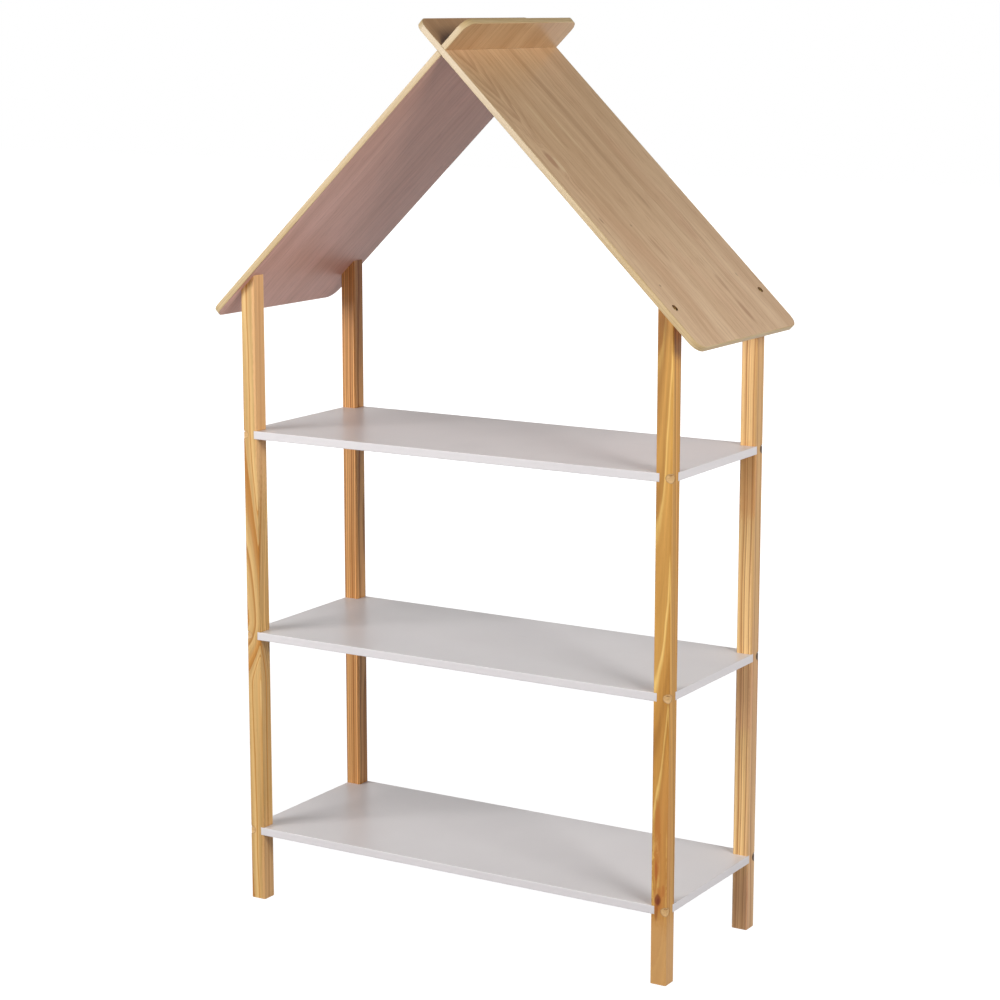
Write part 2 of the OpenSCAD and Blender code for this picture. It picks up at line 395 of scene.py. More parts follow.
@dataclass(frozen=True)
class Pine:
    """Lacquered pine of one post, cut from a tree whose middle lies beside the post.

    Attributes:
        name: Name of the material.
        centre: X and Y of the post's middle.
        pith: X and Y from there to the middle of the tree.
        lean: How far the middle of the tree runs aside per metre of height.
        early: Pale wood that grows first in a year.
        late: Dark wood that grows last in a year.
        blush: Colour of the warmer stretches.
        ring: Width of a year's ring.
        onset: Share of a year after which the wood darkens.
        ripe: Share of a year from which it is fully dark.
        sway: How far the middle of the tree wanders.
        wave: How far the rings ripple.
        stripe: Contrast of the stripes that the rings show where they are cut across.
        uneven: How much the years differ in width.
        seed: Shift that makes the pattern differ from the other posts.
        bends: Stretches in which the rings drift.
        marks: Knots, streaks, swells and patches of tint, among them painted light and painted shade.
    """

    name: str
    centre: tuple[float, float]
    pith: tuple[float, float]
    lean: tuple[float, float]
    early: Triple
    late: Triple
    blush: Triple
    ring: float = 4.5 * MM
    onset: float = 0.25
    ripe: float = 0.88
    sway: float = 2.0 * MM
    wave: float = 1.6 * MM
    stripe: float = 0.2
    uneven: float = 1.6
    seed: float = 0.0
    bends: tuple[Bend, ...] = ()
    marks: tuple[Mark, ...] = ()

    def material(self) -> bpy.types.Material:
        """Builds the wood.

        Returns:
            The material.
        """
        graph = Graph(bpy.data.materials.new(self.name))
        place = graph.place()
        local = graph.vector("SUBTRACT", place, (self.centre[0], self.centre[1], 0))
        seeded = graph.vector("ADD", local, (self.seed, 0, self.seed))
        ragged = graph.noise(place, (420, 420, 150))
        radius = self._tree_radius(graph, local, seeded)
        height = graph.part(local, "Z")
        for bend in self.bends:
            drift = graph.smooth(height, bend.low, bend.high)
            radius = graph.math("MULTIPLY_ADD", drift, bend.shift, radius)
        for mark in self.marks:
            radius = mark.bend(graph, radius, local, ragged, fall=2.2)
        late, year = self._late_share(graph, radius)
        fibre = graph.noise(seeded, (950, 950, 14), 3, 0.6)
        streak = graph.noise(seeded, (420, 420, 3.5))
        rays = graph.combine(radius, self.seed, height)
        hairline = graph.noise(rays, (900, 1, 2.5))
        stripe = graph.smooth(graph.noise(rays, (300, 1, 1.5), 1), 0.3, 0.7)
        canal = graph.smooth(graph.noise(seeded, (1300, 1300, 90), 1), 0.68, 0.76)
        cloud = graph.noise(seeded, (34, 34, 3.2))
        colour = graph.mix(late, tone(*self.early), tone(*self.late))
        colour = graph.stain(colour, graph.smooth(cloud, 0.34, 0.72), 0.4, self.blush)
        shade = graph.span(fibre, 0.88, 1.12)
        for lines, contrast in ((streak, 0.16), (hairline, 0.16), (stripe, self.stripe)):
            shade = graph.math("ADD", shade, graph.span(lines, -contrast, contrast))
        shade = graph.math("SUBTRACT", shade, graph.times(canal, 0.12))
        shade = graph.times(shade, graph.span(year, 0.94, 1.06))
        colour = graph.toned(colour, shade, warmth=0.8)
        for mark in self.marks:
            colour = mark.colour_over(graph, colour, local, ragged, fall=0.8)
        roughness = graph.span(graph.times(fibre, late), 0.38, 0.50)
        relief = graph.math("MULTIPLY_ADD", late, 0.5, graph.math("SUBTRACT", fibre, canal))
        return graph.finish(colour, roughness, relief, 0.04 * MM, Specular_IOR_Level=0.28,
                            Coat_Weight=0.06, Coat_Roughness=0.25)

    def _tree_radius(self, graph: Graph, local: Value, seeded: Value) -> Socket:
        """Distance of a point from the wandering middle of the tree.

        Args:
            graph: Tree of the material.
            local: Place from the post's middle.
            seeded: The same place, shifted by the seed.

        Returns:
            The distance in metres.
        """
        height = graph.part(local, "Z")
        along = graph.combine(self.seed, self.seed + 7, height)
        sway = graph.scaled(graph.noise_vector(along, (1, 1, 4.2), 1), 2 * self.sway)
        lean = graph.combine(graph.times(height, self.lean[0]),
                             graph.times(height, self.lean[1]), 0)
        from_pith = graph.vector("SUBTRACT", local, (self.pith[0], self.pith[1], 0))
        shifted = graph.vector("SUBTRACT", graph.vector("ADD", from_pith, sway), lean)
        flat = graph.vector("LENGTH", graph.vector("MULTIPLY", shifted, (1, 1, 0)))
        ripple = graph.noise(seeded, (60, 60, 8))
        return graph.math("MULTIPLY_ADD", ripple, self.wave, flat)

    def _late_share(self, graph: Graph, radius: Value) -> tuple[Socket, Socket]:
        """Share of dark late wood: it grows slowly through a year and ends at once.

        Args:
            graph: Tree of the material.
            radius: Distance from the middle of the tree.

        Returns:
            The share, 0 to 1, and a number of 0 to 1 that differs from year to year.
        """
        years = graph.math("DIVIDE", radius, self.ring)
        uneven = graph.noise(graph.combine(years, self.seed, 0), (0.7, 1, 1), 1)
        counted = graph.math("MULTIPLY_ADD", uneven, self.uneven, years)
        within = graph.math("FRACT", counted)
        rise = graph.smooth(within, self.onset, self.ripe)
        fall = graph.smooth(within, 1.0, 0.93)
        whole = graph.math("FLOOR", counted)
        year = graph.noise(graph.combine(whole, self.seed, 5), (3.7, 1, 1), 0)
        depth = graph.smooth(year, 0.2, 0.75)
        share = graph.times(graph.times(rise, fall), graph.span(depth, 0.55, 1.0))
        return share, year


@dataclass(frozen=True)
class WoodPrint:
    """Satin wood-grain laminate on the two faces of a roof board, over brown fibreboard.

    Attributes:
        side: Which board it is.
        pitch: Slope of the roof, in radians.
        anchor: A point on the underside of the board, as X and Z.
        reach: Length of the board below that point, down the slope.
        thickness: Thickness of the board.
        ridge: Length of the underside from the lower end to the ridge.
        marks: Flecks, knots and swells, by metres up the slope and metres from front to back.
        crests: Places where the grain closes into nested arches that point down the slope.
        foot_painted_light: Painted light at the lower end, of both faces, lighter and cooler there.
        ridge_painted_shade: Painted shade at the ridge, of both faces, darker and warmer there.
        underside_painted_shade: Painted shade of the underside up to the ridge, a mauve tint.
        horn_tint: Tint of the underside past the ridge, where the painted underside shade stops.
        crotch_painted_shade: Painted shade of the upper face past the ridge, between the horns.
        arch_pitch: Distance from one nested arch to the next.
        arch_spread: How fast an arch opens, as metres across by metre along.
        arch_tip: How blunt an arch is, in square metres.
    """

    side: Side
    pitch: float
    anchor: tuple[float, float]
    reach: float
    thickness: float
    ridge: float
    marks: tuple[Mark, ...] = ()
    crests: tuple[Mark, ...] = ()
    foot_painted_light: Shade = (1.04, 1.07, 1.11, 1)
    ridge_painted_shade: Shade = (0.85, 0.825, 0.76, 1)
    underside_painted_shade: Shade = (0.93, 0.77, 1.03, 1)
    horn_tint: Shade = (0.98, 0.97, 0.92, 1)
    crotch_painted_shade: Shade = (0.80, 0.70, 0.60, 1)
    arch_pitch: float = 13.8 * MM
    arch_spread: float = 0.30
    arch_tip: float = 5e-5

    def material(self) -> bpy.types.Material:
        """Builds the print.

        Returns:
            The material.
        """
        graph = Graph(bpy.data.materials.new(f"wood_print_{self.side.name.lower()}"))
        sign = self.side.value
        place = graph.vector("SUBTRACT", graph.place(), (self.anchor[0], 0, self.anchor[1]))
        up_slope = (-sign * math.cos(self.pitch), 0, math.sin(self.pitch))
        outward = (sign * math.sin(self.pitch), 0, math.cos(self.pitch))
        along = graph.math("ADD", graph.vector("DOT_PRODUCT", place, up_slope), self.reach)
        across = graph.part(place, "Y")
        depth = graph.vector("DOT_PRODUCT", place, outward)
        sheet = graph.combine(along, across, 0)
        seeded = graph.vector("ADD", sheet, (2.0 * sign, 0, 0))
        ragged = graph.noise(seeded, (130, 420, 1))
        drift = graph.noise(seeded, (4.5, 13, 1))
        shifted = graph.math("MULTIPLY_ADD", drift, 30 * MM, across)
        for mark in self.marks:
            shifted = mark.bend(graph, shifted, sheet, ragged, fall=2.6)
        bent = graph.combine(graph.part(seeded, "X"), shifted, 0)
        colour, hair = self._grain(graph, bent, shifted)
        for crest in self.crests:
            share = graph.times(crest.nearness(graph, sheet, ragged, fall=1.0),
                                self._arches(graph, sheet, crest))
            colour = graph.stain(colour, share, crest.tint, crest.colour)
        for mark in self.marks:
            colour = mark.colour_over(graph, colour, sheet, ragged, fall=1.3)
        # Painted light and shade along the slope, under the board and between the horns.
        colour = graph.vector("MULTIPLY", colour, self._tint(graph, along, depth))
        half = self.thickness / 2
        from_middle = graph.math("ABSOLUTE", graph.math("SUBTRACT", depth, half))
        skin = graph.smooth(from_middle, half - 0.25 * MM, half - 0.12 * MM)
        fuzz = graph.noise(place, (900, 900, 900))
        raw = graph.mix(fuzz, tone(112, 84, 58), tone(140, 108, 78))
        colour = graph.mix(skin, raw, colour)
        return graph.finish(colour, graph.span(hair, 0.28, 0.37), hair, 0.015 * MM,
                            Specular_IOR_Level=0.3)

    def _tint(self, graph: Graph, along: Value, depth: Value) -> Socket:
        """Painted light and shade that each stretch of the two faces gives to the print: lighter at the
        lower end, darker towards the ridge, a mauve painted shade on the underside and a darker painted
        shade between the horns.

        Args:
            graph: Tree of the material.
            along: Place up the slope, from the lower end of the board.
            depth: Height over the underside.

        Returns:
            The painted light and shade, as a tint.
        """
        # Painted light at the lower end, giving way to painted shade towards the ridge.
        fade = graph.smooth(along, -60 * MM, self.ridge - 60 * MM)
        slope_painted_light = graph.mix(fade, self.foot_painted_light, self.ridge_painted_shade)
        # Painted shade on the underside, which stops past the ridge.
        past_ridge = graph.smooth(along, self.ridge - 8 * MM, self.ridge)
        lower_painted_shade = graph.mix(past_ridge, self.underside_painted_shade, self.horn_tint)
        # Painted shade in the crotch between the horns.
        in_crotch = graph.smooth(along, self.ridge + 8 * MM, self.ridge + 16 * MM)
        upper_painted_shade = graph.mix(in_crotch, WHITE, self.crotch_painted_shade)
        half = self.thickness / 2
        at_underside = graph.smooth(depth, half, half - 1 * MM)
        return graph.vector("MULTIPLY", slope_painted_light, graph.mix(at_underside, upper_painted_shade, lower_painted_shade))

    def _arches(self, graph: Graph, sheet: Value, crest: Mark) -> Socket:
        """Dark lines of nested arches.

        Args:
            graph: Tree of the material.
            sheet: Place on the sheet.
            crest: Middle and reach of the arches.

        Returns:
            1 on a line and 0 between the lines.
        """
        offset = graph.vector("SUBTRACT", sheet, crest.centre)
        uneven = graph.scaled(graph.noise_vector(sheet, (26, 70, 1), 2), 10 * MM)
        offset = graph.vector("ADD", offset, uneven)
        aside = graph.part(offset, "Y")
        rounded = graph.math("SQRT", graph.math("MULTIPLY_ADD", aside, aside, self.arch_tip))
        value = graph.math("MULTIPLY_ADD", graph.part(offset, "X"), -self.arch_spread, rounded)
        within = graph.math("FRACT", graph.math("DIVIDE", value, self.arch_pitch))
        return graph.times(graph.smooth(within, 0.1, 0.8), graph.smooth(within, 1.0, 0.85))

    def _grain(self, graph: Graph, bent: Value, shifted: Value) -> tuple[Socket, Socket]:
        """Colour of the printed grain.

        Args:
            graph: Tree of the material.
            bent: Place on the sheet, bent with the grain.
            shifted: Place across the grain.

        Returns:
            The colour and the fine fibres, 0 to 1.
        """
        broad = graph.noise(bent, (1.8, 22, 1), 3, 0.55)
        blush = graph.noise(bent, (4, 16, 1))
        streak = graph.noise(bent, (7, 230, 1), 3, 0.62)
        fleck = graph.noise(bent, (26, 420, 1), 2, 0.6)
        hair = graph.noise(bent, (34, 900, 1), 3, 0.62)
        pore = graph.smooth(graph.noise(bent, (80, 1300, 1), 1), 0.62, 0.74)
        veins_per_metre = 62
        years = graph.math("FRACT", graph.math("MULTIPLY_ADD", broad, 3.0,
                                               graph.times(shifted, veins_per_metre)))
        vein = graph.times(graph.smooth(years, 0.1, 0.9), graph.smooth(years, 1.0, 0.9))
        plain = graph.smooth(graph.noise(bent, (3, 9, 1), 1), 0.35, 0.62)
        colour = graph.mix(graph.smooth(broad, 0.28, 0.74), tone(237, 202, 161), tone(216, 176, 134))
        colour = graph.stain(colour, graph.smooth(blush, 0.5, 0.8), 0.35, (226, 176, 137))
        colour = graph.stain(colour, graph.smooth(streak, 0.42, 0.76), 0.42, (186, 140, 99))
        colour = graph.stain(colour, graph.smooth(fleck, 0.54, 0.74), 0.50, (180, 130, 90))
        colour = graph.stain(colour, graph.times(vein, plain), 0.16, (178, 128, 90))
        shade = graph.math("SUBTRACT", graph.span(hair, 0.87, 1.13), graph.times(pore, 0.06))
        return graph.toned(colour, shade, warmth=0.5), hair


@dataclass(frozen=True)
class PaleBand:
    """Satin edge band with a printed grain that runs along the edge, and painted light on its front face
    towards the ridge.

    Attributes:
        side: Which board it is on.
        pitch: Slope of the roof, in radians.
        top: Height of the ridge.
        front: Y of its front face.
        front_painted_light: Share of painted light, a paler tone, that the front face takes on towards the
            ridge.
        front_painted_light_reach: Height below the ridge at which that painted light starts.
    """

    side: Side
    pitch: float
    top: float
    front: float
    front_painted_light: float
    front_painted_light_reach: float = 340 * MM

    def material(self) -> bpy.types.Material:
        """Builds the band.

        Returns:
            The material.
        """
        graph = Graph(bpy.data.materials.new(f"edge_band_{self.side.name.lower()}"))
        sign = self.side.value
        place = graph.place()
        outward = (sign * math.sin(self.pitch), 0, math.cos(self.pitch))
        up_slope = (-sign * math.cos(self.pitch), 0, math.sin(self.pitch))
        depth = graph.vector("DOT_PRODUCT", place, outward)
        along = graph.vector("DOT_PRODUCT", place, up_slope)
        across = graph.part(place, "Y")
        fine = graph.noise(graph.combine(along, across, depth), (11, 11, 900), 3, 0.6)
        cloud = graph.noise(place, (14, 14, 14))
        colour = graph.mix(graph.smooth(fine, 0.3, 0.7), tone(215, 189, 142), tone(195, 164, 113))
        # Painted light: the front face grows paler towards the ridge.
        at_front = graph.smooth(across, self.front + 5 * MM, self.front + 1 * MM)
        near_ridge = graph.smooth(graph.part(place, "Z"), self.top - self.front_painted_light_reach, self.top)
        pale = graph.times(at_front, near_ridge)
        colour = graph.stain(colour, pale, self.front_painted_light, (222, 206, 182))
        colour = graph.scaled(colour, graph.span(cloud, 0.95, 1.05))
        return graph.finish(colour, graph.span(fine, 0.38, 0.48), fine, 0.02 * MM)


@dataclass(frozen=True)
class WhitePaint:
    """White satin paint with the fine stipple that a roller leaves.

    Attributes:
        name: Name of the material.
    """

    name: str = "white_paint"

    def material(self) -> bpy.types.Material:
        """Builds the paint.

        Returns:
            The material.
        """
        graph = Graph(bpy.data.materials.new(self.name))
        place = graph.place()
        stipple = graph.noise(place, (700, 700, 700))
        cloud = graph.noise(place, (9, 9, 9), 3)
        scuff = graph.smooth(graph.noise(place, (14, 90, 90), 3, 0.7), 0.62, 0.80)
        colour = graph.mix(cloud, tone(232, 228, 227), tone(225, 220, 220))
        colour = graph.stain(colour, scuff, 0.10, (200, 194, 192))
        roughness = graph.math("MULTIPLY_ADD", scuff, 0.08, graph.span(cloud, 0.30, 0.38))
        return graph.finish(colour, roughness, stipple, 0.012 * MM)


@dataclass(frozen=True)
class CapWood:
    """Lacquered wood of the plugs over the bolts: pale in the front posts, with painted shade that makes
    the plugs of the back posts dark.

    Attributes:
        name: Name of the material.
        corner: Middle of a post, where the axes of its plugs pass.
        radius: Radius of a plug.
        lowest: Height of the lowest plugs.
        pitch: Height from one plug to the next.
    """

    name: str = "cap_wood"
    corner: Triple = (338 * MM, 127 * MM, 0)
    radius: float = 6.7 * MM
    lowest: float = 106 * MM
    pitch: float = 300 * MM

    def material(self) -> bpy.types.Material:
        """Builds the wood.

        Returns:
            The material.
        """
        graph = Graph(bpy.data.materials.new(self.name))
        place = graph.place()
        fibre = graph.noise(place, (240, 240, 1100), 3, 0.6)
        colour = graph.mix(graph.smooth(fibre, 0.3, 0.7), tone(228, 188, 130), tone(204, 158, 98))
        folded = graph.vector("ABSOLUTE", place)
        beside = graph.vector("DOT_PRODUCT", graph.vector("SUBTRACT", folded, self.corner),
                              (math.sqrt(0.5), -math.sqrt(0.5), 0))
        above = graph.math("WRAP", graph.math("SUBTRACT", graph.part(place, "Z"), self.lowest),
                           self.pitch / 2, -self.pitch / 2)
        # Painted highlight: the lower part of each plug is paler.
        lower = graph.smooth(above, 0.5 * MM, -4 * MM)
        colour = graph.stain(colour, lower, 0.4, (238, 200, 146))
        # Painted shadow: a dark line round the rim of each plug.
        out = graph.math("SQRT", graph.math("MULTIPLY_ADD", beside, beside,
                                            graph.times(above, above)))
        rim = graph.smooth(out, self.radius - 1.4 * MM, self.radius)
        colour = graph.stain(colour, rim, 0.6, (150, 100, 52))
        # Painted shade: the plugs of the back posts are made dark brown.
        back_painted_shade = graph.smooth(graph.part(place, "Y"), -1 * MM, 1 * MM)
        colour = graph.stain(colour, back_painted_shade, 0.9, (58, 30, 14))
        return graph.finish(colour, graph.span(fibre, 0.48, 0.6), fibre, 0.03 * MM,
                            Specular_IOR_Level=0.25, Coat_Weight=0.03, Coat_Roughness=0.25)


@dataclass(frozen=True)
class Plating:
    """Zinc plating on steel, with the soft mottle of barrel finishing.

    Attributes:
        name: Name of the material.
        bright: Colour of the brighter spots.
        dull: Colour of the duller spots.
    """

    name: str
    bright: Triple
    dull: Triple

    def material(self) -> bpy.types.Material:
        """Builds the plating.

        Returns:
            The material.
        """
        graph = Graph(bpy.data.materials.new(self.name))
        place = graph.place()
        mottle = graph.noise(place, (420, 420, 420), 3, 0.6)
        colour = graph.mix(mottle, tone(*self.bright), tone(*self.dull))
        return graph.finish(colour, graph.span(mottle, 0.28, 0.46), mottle, 0.01 * MM, Metallic=1.0)


@dataclass
class Posts:
    """The four pine posts of the frame.

    Attributes:
        half_width: X of the middle of the right posts.
        half_depth: Y of the middle of the back posts.
    """

    half_width: float = 338 * MM
    half_depth: float = 127 * MM

    def dress(self) -> None:
        """Gives each post wood from a tree of its own."""
        front_right = (self.half_width, -self.half_depth)
        front_left = (-self.half_width, -self.half_depth)
        back_right = (self.half_width, self.half_depth)
        back_left = (-self.half_width, self.half_depth)
        woods = {
            "post_front_right": Pine(
                "pine_front_right", front_right, (-0.012, 0.0589), (0, -0.020),
                (228, 184, 102), (188, 127, 50), (196, 138, 58), ring=4.8 * MM, onset=0.0, ripe=0.17,
                sway=0.5 * MM, stripe=0.26, uneven=0.3, seed=3.1,
                bends=(Bend(0.20, 0.59, -2.4 * MM),),
                marks=(
                    Mark((0.0, 0.0, 0.030), (50 * MM, 50 * MM, 46 * MM), tint=0.75, colour=(218, 167, 106)),
                    Mark((-0.0013, -0.012, 0.125), (6 * MM, 9 * MM, 36 * MM), push=-2.5 * MM),
                    Mark((0.009, -0.012, 0.20), (8 * MM, 8 * MM, 85 * MM), tint=0.55,
                         colour=(206, 145, 76)),
                    Mark((-0.0030, -0.012, 0.205), (3.4 * MM, 5 * MM, 44 * MM), tint=0.6,
                         colour=(190, 112, 46)),
                    Mark((-0.0045, -0.012, 0.163), (1.6 * MM, 5 * MM, 10 * MM), tint=0.6,
                         colour=(176, 88, 34)),
                    Mark((0.0065, -0.012, 0.136), (1.7 * MM, 5 * MM, 6 * MM), tint=0.5,
                         colour=(184, 98, 38)),
                    Mark((-0.0013, -0.012, 0.123), (5 * MM, 9 * MM, 12 * MM), tint=0.5,
                         colour=(190, 108, 44)),
                    Mark((-0.0040, -0.012, 0.106), (2.0 * MM, 5 * MM, 10 * MM), tint=0.6,
                         colour=(150, 76, 30)),
                    Mark((-0.0013, -0.012, 0.1215), (3.3 * MM, 9 * MM, 6.0 * MM), tint=0.9,
                         colour=(132, 62, 24)),
                    Mark((-0.0008, -0.012, 0.1195), (1.5 * MM, 9 * MM, 3.2 * MM), tint=0.7),
                )),
            "post_front_left": Pine(
                "pine_front_left", front_left, (-0.026, 0.056), (0, 0.006),
                (223, 182, 117), (191, 128, 53), (209, 160, 92), ring=5.0 * MM, onset=0.5,
                stripe=0.15, seed=11.7,
                bends=(Bend(0.33, 0.43, -13 * MM), Bend(0.43, 0.71, 10 * MM)),
                # Painted light on the right face: a paler, warmer top above the top shelf, and a lighter
                # foot.
                marks=(Mark((0.013, 0.0, 0.85), (4 * MM, 60 * MM, 160 * MM), tint=0.55,
                            colour=(255, 202, 144)),
                       Mark((0.013, 0.0, 0.0), (4 * MM, 60 * MM, 90 * MM), tint=0.5,
                            colour=(232, 180, 124)))),
            "post_back_right": Pine(
                "pine_back_right", back_right, (-0.050, 0.028), (0.006, 0.004),
                (238, 198, 136), (160, 86, 24), (214, 168, 102), ring=4.0 * MM, onset=0.55, ripe=0.93,
                stripe=0.10, seed=23.4,
                marks=(
                    # Tints over the right face: browner in its upper part, pinker in its lower part.
                    Mark((0.013, 0.0, 0.70), (4 * MM, 60 * MM, 300 * MM), tint=0.45,
                         colour=(190, 138, 80)),
                    Mark((0.013, 0.0, 0.10), (4 * MM, 60 * MM, 240 * MM), tint=0.35,
                         colour=(198, 146, 114)),
                    # Painted shade: a warmer, redder tint on the front face just under each shelf, where
                    # the shelf's shadow falls.
                    Mark((0.0, -0.012, 0.02), (60 * MM, 5 * MM, 50 * MM), tint=0.45,
                         colour=(216, 158, 120)),
                    Mark((0.0, -0.012, 0.35), (60 * MM, 5 * MM, 36 * MM), tint=0.35,
                         colour=(216, 158, 120)),
                    Mark((0.0, -0.012, 0.66), (60 * MM, 5 * MM, 36 * MM), tint=0.40,
                         colour=(206, 134, 72)),
                )),
            "post_back_left": Pine(
                "pine_back_left", back_left, (0.060, 0.014), (0.004, -0.006),
                (218, 162, 100), (146, 80, 16), (190, 126, 62), ring=3.8 * MM, onset=0.35, seed=37.9),
        }
        for node, wood in woods.items():
            dress(node, wood.material())


@dataclass
class Shelves:
    """The three white shelves.

    Attributes:
        nodes: Names of the shelves in the frame.
    """

    nodes: tuple[str, ...] = ("shelf_bottom", "shelf_middle", "shelf_top")

    def dress(self) -> None:
        """Paints the shelves."""
        paint = WhitePaint().material()
        for node in self.nodes:
            dress(node, paint)


@dataclass
class Roof:
    """The two roof boards with their edge bands.

    Attributes:
        half_case: Half of the width across the posts.
        eaves: Height where the underside of a board rests on the outer face of a post.
        pitch: Slope of the roof.
        overhang: Length of a board past the posts, down the slope.
        horn: Length of a board past the ridge, up the slope.
        width: Size of a board along Y.
        thickness: Thickness of a board.
        corner: Radius of a board's corners.
        band: Thickness of the edge band.
        rim: Radius on the outer edges of the band.
        slot_gap: Gap on each side of a board in the slot of the other.
        front_painted_lights: Share of painted light, a paler tone, on the front of the left and the right
            band.
        marks: Marks in the print of the right board.
        crests: Nested arches in the print of the right board.
    """

    half_case: float = 350 * MM
    eaves: float = 915 * MM
    pitch: float = math.radians(44)
    overhang: float = 55 * MM
    horn: float = 60.5 * MM
    width: float = 300 * MM
    thickness: float = 9 * MM
    corner: float = 18 * MM
    band: float = 1 * MM
    rim: float = 0.6 * MM
    slot_gap: float = 0.2 * MM
    front_painted_lights: tuple[float, float] = (0.12, 0.42)
    marks: tuple[Mark, ...] = (
        Mark((0.107, -0.119, 0), (1.2 * MM, 1.2 * MM, 1), tint=0.5, colour=(112, 70, 40)),
        Mark((0.225, -0.126, 0), (3 * MM, 1.0 * MM, 1), tint=0.5, colour=(136, 76, 44)),
        Mark((0.210, -0.063, 0), (1.2 * MM, 1.0 * MM, 1), tint=0.5, colour=(112, 70, 40)),
        Mark((0.101, 0.100, 0), (2.0 * MM, 1.2 * MM, 1), tint=0.3, colour=(112, 70, 40)),
        Mark((0.040, 0.041, 0), (12 * MM, 3.0 * MM, 1), tint=0.42, colour=(158, 98, 62)),
        Mark((0.092, 0.042, 0), (10 * MM, 2.8 * MM, 1), tint=0.30, colour=(158, 98, 62)),
        Mark((0.190, 0.078, 0), (12 * MM, 2.4 * MM, 1), tint=0.22, colour=(158, 98, 62)),
        Mark((0.165, -0.043, 0), (13 * MM, 2.4 * MM, 1), tint=0.34, colour=(162, 102, 64)),
        Mark((0.248, 0.024, 0), (9 * MM, 2 * MM, 1), tint=0.28, colour=(148, 100, 62)),
        Mark((0.335, -0.113, 0), (12 * MM, 4 * MM, 1), push=-12 * MM),
        Mark((0.335, -0.121, 0), (10 * MM, 4.0 * MM, 1), tint=0.55, colour=(160, 96, 62)),
        Mark((0.326, -0.111, 0), (9 * MM, 2.2 * MM, 1), tint=0.55, colour=(252, 226, 184)),
        Mark((0.380, -0.023, 0), (22 * MM, 2.0 * MM, 1), tint=0.40, colour=(248, 220, 176)),
        Mark((0.400, -0.062, 0), (26 * MM, 2.0 * MM, 1), tint=0.40, colour=(248, 220, 176)),
        Mark((0.400, 0.020, 0), (110 * MM, 5 * MM, 1), tint=0.20, colour=(156, 106, 66)),
    )
    crests: tuple[Mark, ...] = (
        Mark((0.470, -0.116, 0), (62 * MM, 20 * MM, 1), tint=0.34, colour=(158, 98, 58)),
    )

    @property
    def to_ridge(self) -> float:
        """Length of a board's underside from its lower end to the ridge."""
        return self.overhang + self.half_case / math.cos(self.pitch)

    @property
    def length(self) -> float:
        """Whole length of a board."""
        return self.to_ridge + self.horn

    def placing(self, side: Side) -> Matrix:
        """Matrix that lays a flat board on its slope.

        Args:
            side: Which board.

        Returns:
            The matrix, for a board whose underside lies at Z 0 with X up the slope.
        """
        turn = Matrix.Rotation(math.pi if side is Side.RIGHT else 0, 4, "Z")
        eaves = Matrix.Translation((-self.half_case, 0, self.eaves))
        slope = Matrix.Rotation(-self.pitch, 4, "Y")
        return turn @ eaves @ slope @ Matrix.Translation((-self.overhang, 0, 0))

    def dress(self) -> None:
        """Gives the boards their print and the bands their grain."""
        ridge_height = self.eaves + self.half_case * math.tan(self.pitch)
        for side, front_painted_light in zip(Side, self.front_painted_lights):
            name = side.name.lower()
            right = side is Side.RIGHT
            wood = WoodPrint(side, self.pitch, (side.value * self.half_case, self.eaves), self.overhang,
                             self.thickness, self.to_ridge, self.marks if right else (),
                             self.crests if right else ())
            dress(f"roof_board_{name}", wood.material())
            piece = self.edge_band(side)
            band = PaleBand(side, self.pitch, ridge_height, -self.width / 2, front_painted_light)
            piece.data.materials.append(band.material())
            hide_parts(f"roof_edging_{name}")
            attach(piece, "root")
            LOG.info("made %s", piece.name)

    def edge_band(self, side: Side) -> bpy.types.Object:
        """Models the band round a board, with rounded rims and a gap where the other board crosses.

        Args:
            side: Which board.

        Returns:
            The band.
        """
        mesh = bmesh.new()
        bmesh.ops.create_grid(mesh, x_segments=1, y_segments=1, size=0.5)
        bmesh.ops.scale(mesh, vec=(self.length, self.width, 1), verts=mesh.verts)
        bmesh.ops.translate(mesh, vec=(self.length / 2, 0, 0), verts=mesh.verts)
        bmesh.ops.bevel(mesh, geom=mesh.verts[:], offset=self.corner, offset_type="OFFSET", segments=10,
                        profile=0.5, affect="VERTICES", clamp_overlap=True, material=-1)
        grown = bmesh.ops.extrude_face_region(mesh, geom=mesh.faces[:])
        top = [item for item in grown["geom"] if isinstance(item, bmesh.types.BMVert)]
        bmesh.ops.translate(mesh, vec=(0, 0, self.thickness), verts=top)
        bmesh.ops.recalc_face_normals(mesh, faces=mesh.faces)
        caps = [face for face in mesh.faces if abs(face.normal.z) > 0.9]
        rims = {edge for face in caps for edge in face.edges}
        bmesh.ops.bevel(mesh, geom=list(rims), offset=self.rim, offset_type="OFFSET", segments=3,
                        profile=0.5, affect="EDGES", clamp_overlap=True, material=-1)
        caps = [face for face in mesh.faces if abs(face.normal.z) > 0.999]
        bmesh.ops.inset_region(mesh, faces=caps, thickness=self.band - self.rim, use_even_offset=True)
        bmesh.ops.delete(mesh, geom=caps, context="FACES")
        loose = [edge for edge in mesh.edges if edge.is_boundary]
        bmesh.ops.bridge_loops(mesh, edges=loose)
        self._cut_slot(mesh)
        bmesh.ops.remove_doubles(mesh, verts=mesh.verts, dist=1e-6)
        bmesh.ops.recalc_face_normals(mesh, faces=mesh.faces)
        mesh.transform(self.placing(side))
        return piece_from(mesh, f"edge_band_{side.name.lower()}")

